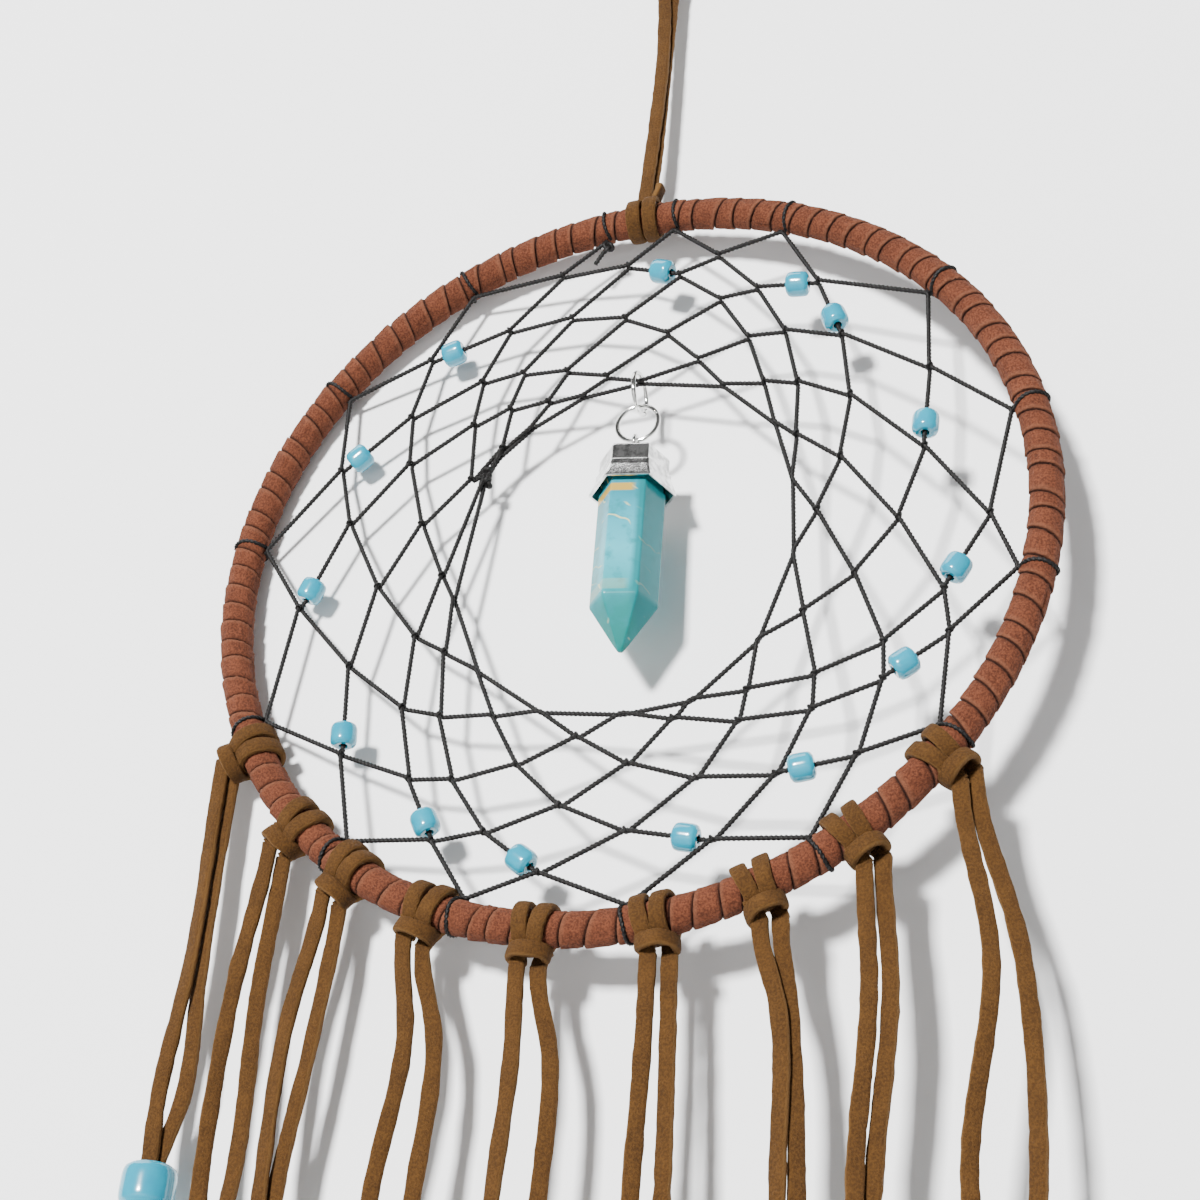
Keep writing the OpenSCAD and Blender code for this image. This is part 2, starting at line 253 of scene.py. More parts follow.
def suede_nap():
    """A node group for brushed suede: a mottled colour between two tones and the
    height of its nap, both from noise at three scales of the piece's own space."""
    group = bpy.data.node_groups.new("suede_nap", "ShaderNodeTree")
    for name in ("Light", "Dark"):
        group_socket(group, name, "NodeSocketColor")
    group_socket(group, "Mottle", "NodeSocketFloat")
    group_socket(group, "Color", "NodeSocketColor", "OUTPUT")
    group_socket(group, "Height", "NodeSocketFloat", "OUTPUT")
    nodes, links = group.nodes, group.links
    given, out = nodes.new("NodeGroupInput"), nodes.new("NodeGroupOutput")
    place = nodes.new("ShaderNodeTexCoord").outputs["Object"]
    broad, fine, finest = (noise_of(nodes, links, scale, detail, place)
                           for scale, detail in ((260, 3), (2700, 3), (6200, 2)))
    share = nodes.new("ShaderNodeMix")
    links.new(given.outputs["Mottle"], share.inputs["Factor"])
    links.new(ranged(nodes, links, fine, 0.38, 0.62), share.inputs["A"])
    links.new(ranged(nodes, links, broad, 0.35, 0.65), share.inputs["B"])
    dark, light = given.outputs["Dark"], given.outputs["Light"]
    links.new(colour_mix(nodes, links, share.outputs["Result"], dark, light), out.inputs["Color"])
    rise = nodes.new("ShaderNodeMath")
    rise.operation = "ADD"
    links.new(fine, rise.inputs[0])
    links.new(finest, rise.inputs[1])
    links.new(rise.outputs[0], out.inputs["Height"])
    return group


nap = suede_nap()


def blank(name, **sockets):
    """A new material, its node lists, and plain values set on its shader."""
    material = bpy.data.materials.new(name)
    material.use_nodes = True
    nodes, links = material.node_tree.nodes, material.node_tree.links
    for socket, value in sockets.items():
        nodes["Principled BSDF"].inputs[socket.replace("_", " ")].default_value = value
    return material, nodes, links


def suede(name, light, dark, edge, mottle, bump):
    """Matt suede with a sheen. Two values stored on the surface act on it, each from
    0 to 1: edge turns it into the pale colour of a cut, and shade darkens it towards
    near-black, a painted shade for the grooves between turns."""
    sheen = (*[min(1.0, 2.2 * part) for part in light], 1)
    material, nodes, links = blank(name, Roughness=0.95, Specular_IOR_Level=0.2, Sheen_Weight=0.12,
                                   Sheen_Roughness=0.45, Sheen_Tint=sheen)
    surface_nap = nodes.new("ShaderNodeGroup")
    surface_nap.node_tree = nap
    surface_nap.inputs["Light"].default_value = (*light, 1)
    surface_nap.inputs["Dark"].default_value = (*dark, 1)
    surface_nap.inputs["Mottle"].default_value = mottle
    pale = colour_node(nodes, edge)
    cut = colour_mix(nodes, links, stored(nodes, "edge"), surface_nap.outputs["Color"], pale)
    # Painted shade: the near-black colour that shade turns the suede into in the grooves between turns.
    deep = colour_node(nodes, [0.22 * part for part in dark])
    shaded = colour_mix(nodes, links, stored(nodes, "shade"), cut, deep)
    links.new(shaded, nodes["Principled BSDF"].inputs["Base Color"])
    relief(nodes, links, surface_nap.outputs["Height"], 0.8, bump)
    return material


def unit(vectors):
    """Each row divided by its own length."""
    return vectors / np.linalg.norm(vectors, axis=-1, keepdims=True)


def quads(rows, columns, close_rows=False):
    """Faces of a grid whose columns close into rings, in ring order."""
    j = np.arange(rows if close_rows else rows - 1)[:, None]
    k = np.arange(columns)[None]
    here, over = j * columns, ((j + 1) % rows) * columns
    beside = (k + 1) % columns
    return np.stack([here + k, here + beside, over + beside, over + k], -1).reshape(-1, 4)


def piece(name, parts, material, body, slot, attributes=None):
    """One mesh of several parts, each (points of any grid, faces), riding on a body.
    attributes names values for the points of every part, in order."""
    mesh = bpy.data.meshes.new(name)
    flat_points = [np.asarray(points, float).reshape(-1, 3) for points, _ in parts]
    starts = np.cumsum([0] + [len(points) for points in flat_points])
    faces = [[int(start + corner) for corner in face]
             for (_, part_faces), start in zip(parts, starts) for face in part_faces]
    mesh.from_pydata(np.concatenate(flat_points).tolist(), [], faces)
    mesh.polygons.foreach_set("use_smooth", [True] * len(mesh.polygons))
    for label, values in (attributes or {}).items():
        layer = mesh.attributes.new(label, "FLOAT", "POINT")
        layer.data.foreach_set("value", np.asarray(values, np.float32).ravel())
    mesh.materials.append(material)
    made = bpy.data.objects.new(name, mesh)
    bpy.context.scene.collection.objects.link(made)
    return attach(made, body)


def wire_metal(name, colour, roughness, pits, tarnish):
    """Bright metal with fine pits, and darker where broad noise lets it tarnish."""
    material, nodes, links = blank(name, Metallic=1.0, Roughness=roughness)
    patches = ranged(nodes, links, noise_of(nodes, links, 700, 4), 0.42, 0.62)
    dull = colour_node(nodes, [part * (1 - tarnish) for part in colour])
    tone = colour_mix(nodes, links, patches, colour_node(nodes, colour), dull)
    links.new(tone, nodes["Principled BSDF"].inputs["Base Color"])
    relief(nodes, links, noise_of(nodes, links, 2600, 3), pits, 0.00006)
    return material


core_wire = frame["nodes"]["ring_core"]
core_wire.data.materials.clear()
core_wire.data.materials.append(wire_metal("drawn_wire", (0.62, 0.62, 0.61), 0.3, 0.2, 0.3))

wrap_r = (wrap_high[1] - wrap_low[1]) / 2
hoop_r = (wrap_high[0] - wrap_low[0]) / 2 - wrap_r
wrap_turns, wrap_sides = 112, 44
turn_place = np.array([0, 0.02, 0.05, 0.12, 0.25, 0.4, 0.55, 0.7, 0.82, 0.9, 0.95, 0.98])
turn_rise = np.array([-0.50, -0.12, 0.15, 0.18, 0.15, 0.12, 0.10, 0.08, 0.05, 0.0, -0.10, -0.32]) * MM
# turn_shade paints shade into the groove at each seam, darkest where the turns meet.
turn_shade = np.array([1, 0.85, 0.25, 0, 0, 0, 0, 0, 0.05, 0.2, 0.6, 0.95])
turn_fray = np.array([0, 0.2, 0.5, 0.3, 0, 0, 0, 0, 0, 0, 0, 0])


def wander(t, seed=5, size=0.17):
    """How far a seam strays along the hoop, in turns: six sines of whole numbers of
    waves round the hoop, so that it closes on itself."""
    random = np.random.default_rng(seed)
    waves = random.integers(9, 70, 6)
    phases = random.uniform(0, 2 * np.pi, 6)
    return size * np.sin(2 * np.pi * t[..., None] * waves / wrap_turns + phases).sum(-1) / 2.4


def wound_strip():
    """The binding's points and faces. Going v round the tube moves a seam back by
    v / 2 pi of a turn, so seam k lies t = k - v / 2 pi turns round the hoop, moved by
    wander(t); the place p across the strip slides from this seam to the next one, and
    the surface stands turn_rise(p) off the tube, with a grain of 0.03 mm."""
    random = np.random.default_rng(3)
    v = 2 * np.pi * np.arange(wrap_sides) / wrap_sides
    t = np.arange(wrap_turns)[:, None, None] - v / (2 * np.pi)
    p = turn_place[:, None]
    a = 2 * np.pi / wrap_turns * (t + p + wander(t) * (1 - p) + wander(t + 1) * p)
    uneven = 1 + 0.5 * random.standard_normal((wrap_turns, 1, wrap_sides))
    r = wrap_r + turn_rise[:, None] * uneven + 0.03 * MM * random.standard_normal(a.shape)
    out = hoop_r + r * np.cos(v)
    points = np.stack([out * np.cos(a), r * np.sin(v) + 0 * a, out * np.sin(a)], -1) + hoop_centre
    rows = wrap_turns * len(turn_place)
    i, j = np.arange(rows)[:, None], np.arange(wrap_sides)[None]
    last = j + 1 == wrap_sides
    back = np.where(last, len(turn_place), 0)
    beside = (j + 1) % wrap_sides
    corner = [((i + up - step) % rows) * wrap_sides + k
              for up, step, k in ((0, 0, j), (0, back, beside), (1, back, beside), (1, 0, j))]
    return points, np.stack(corner, -1).reshape(-1, 4)


def over_turns(values):
    """One value for each place across a turn, given to every point of the binding."""
    return np.broadcast_to(values[:, None], (wrap_turns, len(turn_place), wrap_sides))


russet_suede = suede("russet_suede", light=(0.135, 0.041, 0.019), dark=(0.052, 0.0145, 0.0064),
                     edge=(0.19, 0.075, 0.040), mottle=0.25, bump=0.32 * MM)
wrap = piece("suede_binding", [wound_strip()], russet_suede, "hoop", "wrap_suede",
             attributes={"shade": over_turns(turn_shade), "edge": over_turns(turn_fray)})
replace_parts(wrap, "suede_wrap")

# ---- The web: one waxed thread ----
# A single black waxed polyester thread of three plies. It is hitched fifteen times
# round the hoop, then each further round loops over the spans of the round before,
# and it is tied off at the edge of the opening.
thread_r = 0.45 * MM
thread_lay = 2.5 * MM
hitch_deg = [96, 119, 145, 174, 205, 231, 252, 275, 300, 322, 347, 373, 399, 427, 445]
hitches = len(hitch_deg)
hitch_r = hoop_r - wrap_r - thread_r - 0.05 * MM
round_pull = [0.92, 0.93, 0.92, 0.90, 0.89, 0.93]
line_pull = [0, 2, -1, -2, -2, -3, -1, 1, 0, 0, 0, 2, -3, -2, -1, 1, -2, -1, 1, 3, 7]
line_slip = [0, -12, 0, -4, -8, 4, 8, -6, 4, 6, 4, -14, 4, 12, 2, -8, 4, 18, 2, 2, -14]
web_mid = np.array([0, 1.5]) * MM
tie_slip = 0.6
rounds = len(round_pull)
last_round = hitches * rounds
lift = thread_r + 0.02 * MM


def round_hoop(angle):
    """The directions outwards and along the hoop at an angle round it, in radians."""
    out = np.array([math.cos(angle), 0, math.sin(angle)])
    return out, np.cross(out, y_axis)


def pull_web():
    """The web's crossings, hitches first: crossing n hangs on the span between
    crossings n - 15 and n - 14, slid along it and pulled in towards the middle."""
    web = [hitch_r * np.array([math.cos(math.radians(a)), math.sin(math.radians(a))]) for a in hitch_deg]
    for n in range(hitches, last_round + hitches):
        k = n // hitches - 1
        line = n - (hitches - 1) * (k + 1)
        slip = 0.48 - 0.01 * k + line_slip[line] / 100 - (tie_slip if n == last_round else 0)
        pull = round_pull[k] * (1 + line_pull[line] / 100)
        on_span = (1 - slip) * web[n - hitches] + slip * web[n - hitches + 1]
        web.append(web_mid + (on_span - web_mid) * pull)
    return np.array(web)


web = pull_web()


def at(n, y):
    """Crossing n, y behind the web's plane."""
    return hoop_centre + [web[n][0], y, web[n][1]]


thread = []
for n in range(last_round):
    thread += [at(n, 0 if n < hitches else lift), at(n + hitches, -lift)]
thread += [at(n, lift) for n in range(last_round, last_round + hitches)]
tie_off = at(last_round, lift)
thread = np.array(thread + [tie_off + 1.5 * MM * unit(thread[-1] - tie_off)])


def resampled(path, spacing):
    """Points evenly spaced along a path of straight lines."""
    at_point = np.concatenate([[0], np.cumsum(np.linalg.norm(np.diff(path, axis=0), axis=1))])
    places = np.linspace(0, at_point[-1], int(at_point[-1] / spacing) + 2)
    return np.stack([np.interp(places, at_point, path[:, k]) for k in range(3)], -1)


def rounded_corners(path, passes):
    """A path whose inner points are moved, a few times over, to the mean of
    themselves and the halfway point of their neighbours."""
    for _ in range(passes):
        path = np.concatenate([path[:1], path[1:-1] / 2 + (path[:-2] + path[2:]) / 4, path[-1:]])
    return path


def tube_faces(rows, columns):
    """Faces of an open tube with a flat cap at each end."""
    first = [list(range(columns - 1, -1, -1))]
    last = [[(rows - 1) * columns + k for k in range(columns)]]
    return quads(rows, columns).tolist() + first + last


def tube(path, radius, sides, hint, turn=0.0, closed=False):
    """A tube along a path: rings of radius (one, or one for each side) about it,
    measured from the direction square to both the path and the hint, and turned."""
    around = np.roll(path, -1, 0) - np.roll(path, 1, 0)
    along = unit(around if closed else np.gradient(path, axis=0))
    side = unit(np.cross(along, hint))
    over = np.cross(along, side)
    a = 2 * np.pi * np.arange(sides) / sides + np.reshape(turn, (-1, 1))
    ring = np.cos(a)[..., None] * side[:, None] + np.sin(a)[..., None] * over[:, None]
    points = path[:, None] + np.reshape(radius, (1, -1, 1)) * ring
    return points, quads(len(path), sides, True) if closed else tube_faces(len(path), sides)


def twisted_thread(path, hint, share=1.0):
    """Three-ply thread: the radius swells three times round the section by a
    fifth, and the section turns once over each length of lay. share thins it."""
    sides, spacing = 12, 0.3 * MM
    path = rounded_corners(resampled(path, spacing), 4)
    radius = share * thread_r * (0.94 + 0.20 * np.cos(3 * 2 * np.pi * np.arange(sides) / sides))
    turn = 2 * np.pi * spacing / thread_lay * np.arange(len(path))
    return tube(path, radius, sides, hint, turn)


def waxed(name):
    """Black waxed thread: near-black, with wax that shines where it is thick."""
    material, nodes, links = blank(name, Specular_IOR_Level=0.2)
    wax = noise_of(nodes, links, 900, 3)
    dry, waxy = colour_node(nodes, (0.002, 0.0018, 0.0018)), colour_node(nodes, (0.010, 0.009, 0.0085))
    tone = colour_mix(nodes, links, wax, dry, waxy)
    links.new(tone, nodes["Principled BSDF"].inputs["Base Color"])
    rough = nodes.new("ShaderNodeMapRange")
    rough.inputs["To Min"].default_value = 0.65
    rough.inputs["To Max"].default_value = 0.4
    links.new(wax, rough.inputs["Value"])
    links.new(rough.outputs["Result"], nodes["Principled BSDF"].inputs["Roughness"])
    relief(nodes, links, noise_of(nodes, links, 4200, 3), 0.5, 0.00008)
    return material


waxed_thread = waxed("waxed_thread")
row_steps = 2 * hitches
half_hitch_r, half_hitch_wire = 0.58 * MM, 0.26 * MM
half_hitches = [[] for _ in range(rounds)]
for n in range(hitches, last_round):
    # A later round draws a small tight ring round the span it hangs on. Each ring
    # leans its own way.
    step = thread[2 * (n - hitches) + 1] - thread[2 * (n - hitches)]
    along = unit(step + 0.25 * np.linalg.norm(step) * np.array([math.sin(n), 0, math.cos(1.7 * n)]))
    a = 2 * np.pi * np.arange(12)[:, None] / 12
    side = unit(np.cross(along, y_axis))
    ring = at(n, -lift) + half_hitch_r * (np.cos(a) * side + np.sin(a) * np.cross(along, side))
    half_hitches[min(n // hitches, rounds - 1)].append(tube(ring, half_hitch_wire, 6, along, closed=True))
for k in range(1, rounds + 1):
    row_path = thread[row_steps * (k - 1):row_steps * k + 1 if k < rounds else None]
    row = piece(f"thread_round_{k}", [twisted_thread(row_path, y_axis)] + half_hitches[k - 1],
                waxed_thread, "hoop", "thread")
    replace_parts(row, f"web_row_{k}")

# Pulled tight, the thread of a hitch is thinner and lies sunk in the suede.
hitch_share, hitch_stand = 0.85, 0.22 * MM
hitch_parts = []
for a in np.radians(hitch_deg):
    out, along = round_hoop(a)
    v = np.linspace(-np.pi, np.pi, 60)[:, None]
    shift = 0.55 * MM * v / np.pi + 0.12 * MM * np.sin(3 * v + a)
    turn = (wrap_r + hitch_stand) * (np.cos(v) * out + np.sin(v) * y_axis)
    path = hoop_centre + hoop_r * out + turn + shift * along
    hitch_parts.append(twisted_thread(path, along, hitch_share))
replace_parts(piece("thread_hitches", hitch_parts, waxed_thread, "hoop", "thread"), "web_hitches")


def overhand(middle, axis, size):
    """A tightened overhand knot: the trefoil (sin t + 2 sin 2t, cos t - 2 cos 2t,
    -sin 3t), three sizes wide, lying square to an axis."""
    t = 2 * np.pi * np.arange(72)[:, None] / 72
    axis = unit(np.array(axis, float))
    side = unit(np.cross(axis, [0.2, 1, 0.1]))
    over = np.cross(axis, side)
    wide, tall = np.sin(t) + 2 * np.sin(2 * t), np.cos(t) - 2 * np.cos(2 * t)
    path = wide * side + tall * over - np.sin(3 * t) * axis
    return tube(middle + size / 3 * path, 0.42 * MM, 8, axis + 0 * path, closed=True)


start_knot = hoop_centre + (hitch_r - 1.6 * MM) * round_hoop(math.radians(hitch_deg[0]))[0]


def tail(start, tilt, length):
    """A cut end of thread, hanging from a knot at a tilt from the upright."""
    down = np.array([math.sin(math.radians(tilt)), 0, math.cos(math.radians(tilt))])
    u = np.linspace(0, 1, 12)[:, None]
    return twisted_thread(start + length * (u * down + 0.10 * u * u * y_axis), y_axis)


knot_parts = [
    overhand(start_knot, (0.3, 1, 0.2), 1.15 * MM),
    tail(start_knot, 215, 4.5 * MM),
    overhand(tie_off + [0, 0, 1.3 * MM], (0.2, 0.5, 1), 1.05 * MM),
    overhand(tie_off - [0, 0, 1.3 * MM], (-0.3, 0.6, 1), 1.05 * MM),
    tail(tie_off, 190, 5.5 * MM)]
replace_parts(piece("thread_knots", knot_parts, waxed_thread, "hoop", "thread"), "web_knots")

# ---- The web's beads ----
# Fourteen pressed-glass beads in opaque turquoise, barrel-shaped with rounded lips
# and a dark bore, threaded on the web's second round. Each slides along its span.


def glazed(name, base, deep):
    """Glossy opaque glass: a colour that pools deeper in broad soft patches, under a
    clear coat, with a faint orange-peel."""
    material, nodes, links = blank(name, Roughness=0.2, Coat_Weight=0.5, Coat_Roughness=0.05)
    pooled = noise_of(nodes, links, 320, 3)
    tone = colour_mix(nodes, links, pooled, colour_node(nodes, deep), colour_node(nodes, base))
    links.new(tone, nodes["Principled BSDF"].inputs["Base Color"])
    relief(nodes, links, pooled, 0.25, 0.00005)
    return material


turquoise_glass = glazed("turquoise_glass", (0.001, 0.27, 0.37), (0.0005, 0.17, 0.27))


def revolved(profile, centre, axis, count=48):
    """A closed profile of (radius, height) pairs turned about an axis."""
    profile = np.array(profile, float)
    axis = np.array(Vector(axis).normalized())
    side = unit(np.cross(axis, [0.3, 0.9, 0.1]))
    front = np.cross(axis, side)
    a = 2 * np.pi * np.arange(count) / count
    spoke = np.cos(a)[:, None] * side + np.sin(a)[:, None] * front
    points = (profile[None, :, 0, None] * spoke[:, None] + profile[None, :, 1, None] * axis) + centre
    return points, quads(count, len(profile), close_rows=True)


def bead_profile(diameter, length, bore, end_share):
    """Outline of a barrel bead: a bulging side whose radius falls away from the
    middle as the fourth power of height, rounded lips, and a straight bore."""
    half, lip = length / 2, 0.10 * length
    end = diameter / 2 * end_share
    bulge = [(end + (diameter / 2 - end) * math.sqrt(max(0, 1 - v**4)), v * (half - lip / 4))
             for v in np.linspace(-1, 1, 17)]
    rim = [(end - lip * (1 - math.cos(a)) * 0.9, half - lip / 4 * (1 - math.sin(a)))
           for a in np.linspace(0.3, 1.57, 4)]
    mouth = [(bore / 2 + lip / 2 * (1 - math.sin(a)), half - lip / 2 * (1 - math.cos(a)))
             for a in np.linspace(0, 1.57, 4)]
    upper_end = rim + mouth
    return bulge + upper_end + [(r, -h) for r, h in mouth[::-1] + rim[::-1]]


web_beads = 14
web_bead_d, web_bead_len, web_bead_bore = 4.9 * MM, 4.4 * MM, 1.5 * MM
for number in range(1, web_beads + 1):
    low, high = corners(f"web_bead_{number}")
    outline = bead_profile(web_bead_d, web_bead_len, web_bead_bore, 0.70)
    made = piece(f"glass_bead_{number}",
                 [revolved(outline, (low + high) / 2, joints[f"bead_{number}_slide"]["axis"])],
                 turquoise_glass, f"bead_{number}", "turquoise_bead")
    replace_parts(made, f"web_bead_{number}")

# ---- The pendant's rings, eye and cap ----
# Two cut jump rings of round silver-plated wire: the upper hangs on the web's last
# round, the lower links it to the wire eye of the cap. The cap is a cast six-sided
# cup, silver-plated and a little pitted, whose skirt flares over the stone.
silver_plate = wire_metal("silver_plate", (0.86, 0.86, 0.85), 0.14, 0.35, 0.45)
bright_wire = wire_metal("bright_wire", (0.84, 0.84, 0.82), 0.12, 0.08, 0.25)


def open_ring(middle, side, over, mean_r, wire_r, gap, start):
    """A ring of wire cut through, with its two flat ends a small gap apart: places
    at mean_r (cos a side + sin a over), a from start round to start again."""
    half = gap / 2 / mean_r
    a = np.linspace(start + half, start + 2 * np.pi - half, 65)[:, None]
    path = middle + mean_r * (np.cos(a) * side + np.sin(a) * over)
    return tube(path, wire_r, 14, np.cross(side, over) + 0 * path)


link_wire = 0.45 * MM
link_gap = 0.12 * MM
upper_low, upper_high = corners("upper_jump_ring")
link_r = (upper_high[2] - upper_low[2]) / 2 - link_wire
for which, over, gap_at in (("upper", y_axis, 2.3), ("lower", x_axis, 1.1)):
    low, high = corners(f"{which}_jump_ring")
    ring = open_ring((low + high) / 2, z_axis, over, link_r, link_wire, link_gap, gap_at)
    made = piece(f"{which}_ring_wire", [ring], bright_wire, f"{which}_ring", "silver_plate")
    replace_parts(made, f"{which}_jump_ring")

eye_wire, eye_r = 0.35 * MM, 1.35 * MM
eye_low, eye_high = corners("pendant_eye")
eye_x = (eye_low[0] + eye_high[0]) / 2
eye_middle = np.array([eye_x, 0, eye_high[2] - eye_r - eye_wire])
bend_at = np.linspace(0.35, 2 * np.pi - 0.1, 41)[:, None]
eye_bend = eye_middle + eye_r * (np.sin(bend_at) * y_axis - np.cos(bend_at) * z_axis)
stem = np.array([[eye_x, 0, eye_bend[-1][2]], [eye_x, 0, eye_low[2]]])
eye_parts = [tube(eye_bend, eye_wire, 12, x_axis + 0 * eye_bend),
             tube(resampled(stem, 0.3 * MM), eye_wire, 12, x_axis)]
eye = piece("eye_wire", eye_parts, bright_wire, "pendant", "silver_plate")
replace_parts(eye, "pendant_eye")

stone_turn = math.radians(11)


def hex_ring(width, height, fillet):
    """A hexagon at a height, width across its corners. Each corner is a fillet of five
    points, with one more point a little way along each side to keep the sides flat."""
    corner = np.radians(60 * np.arange(6)) + stone_turn
    swing = np.radians(np.array([-30, -30, -15, 0, 15, 30, 30]))
    side = width / 2 - 2 * fillet * math.tan(math.radians(30))
    slide = np.array([-1, 0, 0, 0, 0, 0, 1]) * min(0.35 * MM, side / 4)
    inner = width / 2 - fillet / math.cos(math.radians(30))
    a = corner[:, None] + swing
    x = inner * np.cos(corner)[:, None] + fillet * np.cos(a) - slide * np.sin(a)
    y = inner * np.sin(corner)[:, None] + fillet * np.sin(a) + slide * np.cos(a)
    return np.stack([x + eye_x, y, np.full_like(x, height)], -1).reshape(-1, 3)


def hex_rings(groups):
    """The rings of a six-sided piece, in groups of (width, height, steps). Each step
    is so much wider and higher than its group, with its fillet, in millimetres."""
    return np.stack([hex_ring(width + wider * MM, height + higher * MM, fillet * MM)
                     for width, height, steps in groups for wider, higher, fillet in steps])


stone_w, point_len = 12.6 * MM, 9 * MM
cap_low, cap_high = corners("pendant_cap")
collar_w, collar_h, skirt_h, skirt_w, cap_roof = 13.2 * MM, 3.8 * MM, 4.4 * MM, 16.4 * MM, 1.0 * MM
neck_h = 2.4 * MM
cap_z, foot_z = cap_high[2] - neck_h, cap_low[2]
collar_foot = cap_z - collar_h
cup_w, mouth_w = stone_w - 0.8 * MM, skirt_w - 1.2 * MM
cap_rings = hex_rings([
    (skirt_w, foot_z, [(-0.35, 0, 0.25), (0, 0.12, 0.3), (-0.1, 0.45, 0.3)]),
    (collar_w, collar_foot, [(1.1, -1.3, 0.3), (1.0, -1.05, 0.3), (0.9, -0.15, 0.3),
                             (0.7, 0.05, 0.3), (0, 0.25, 0.3), (0, 0.5, 0.3)]),
    (collar_w, cap_z, [(0, -0.65, 0.3), (-0.05, -0.4, 0.3), (-0.3, -0.12, 0.3),
                       (-0.9, 0, 0.3), (-1.6, 0, 0.3)]),
    (0, cap_z, [(4.2, 0, 1.8), (3.5, 0.15, 1.5), (3.1, 0.6, 1.33)]),
    (0, cap_z + neck_h, [(2.8, -0.5, 1.2), (2.6, -0.12, 1.11), (2.2, 0, 0.94),
                         (1.1, 0, 0.46), (0.95, -0.2, 0.4)]),
    (0, cap_z - cap_roof, [(0.95, 0, 0.4)]),
    (cup_w, cap_z - cap_roof, [(-0.3, 0, 0.25), (0, -0.3, 0.25)]),
    (cup_w, foot_z + skirt_h, [(0, -0.5, 0.25)]),
    (mouth_w, foot_z, [(-0.2, 0.3, 0.25), (0, 0, 0.25)])])
cap = piece("cast_cap", [(cap_rings, quads(*cap_rings.shape[:2], True))], silver_plate,
            "pendant", "silver_plate")
cap.data.set_sharp_from_angle(angle=math.radians(50))
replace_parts(cap, "pendant_cap")

# ---- The stone ----
# A six-sided point of dyed, polished banded stone: turquoise blue, deeper teal at
# its tip, with a gold seam under the cap and fine cream veins. Its side facets are
# darkened with painted shade, and a faint cream band of painted highlight lies on
# the front above the shoulder. Its arris lines are softly rounded by tumbling. It is
# glued up inside the cap.
stone_low, stone_high = corners("pendant_crystal")
tip_z, stone_top = stone_low[2], stone_high[2]
shoulder_z = tip_z + point_len
shank_w = stone_w - 1.0 * MM
stone_rings = hex_rings([
    (0, tip_z, [(0.5, 0, 0.1), (1.1, 0.12, 0.25), (1.7, 0.5, 0.35), (2.6, 1.15, 0.4), (3.2, 1.6, 0.4)]),
    (stone_w, shoulder_z, [(-1.1, -0.75, 0.5), (-0.62, -0.40, 0.5), (-0.22, -0.08, 0.5),
                           (0, 0.35, 0.5), (0, 0.8, 0.5)]),
    (stone_w, foot_z, [(0, -0.3, 0.5), (0, -0.05, 0.5)]),
    (shank_w, foot_z, [(0, 0, 0.5), (0, 0.3, 0.5)]),
    (shank_w, stone_top, [(0, 0, 0.5)])])


stone_stops = [
    (0.0, (0.004, 0.13, 0.115)),
    (0.20, (0.006, 0.155, 0.15)),
    (0.30, (0.022, 0.25, 0.28)),
    (0.55, (0.05, 0.36, 0.43)),
    (0.8, (0.032, 0.27, 0.34)),
    (0.95, (0.018, 0.19, 0.24))]
cloud_teal, side_shade_teal, vein_cream = (0.012, 0.17, 0.19), (0.006, 0.13, 0.14), (0.42, 0.46, 0.26)


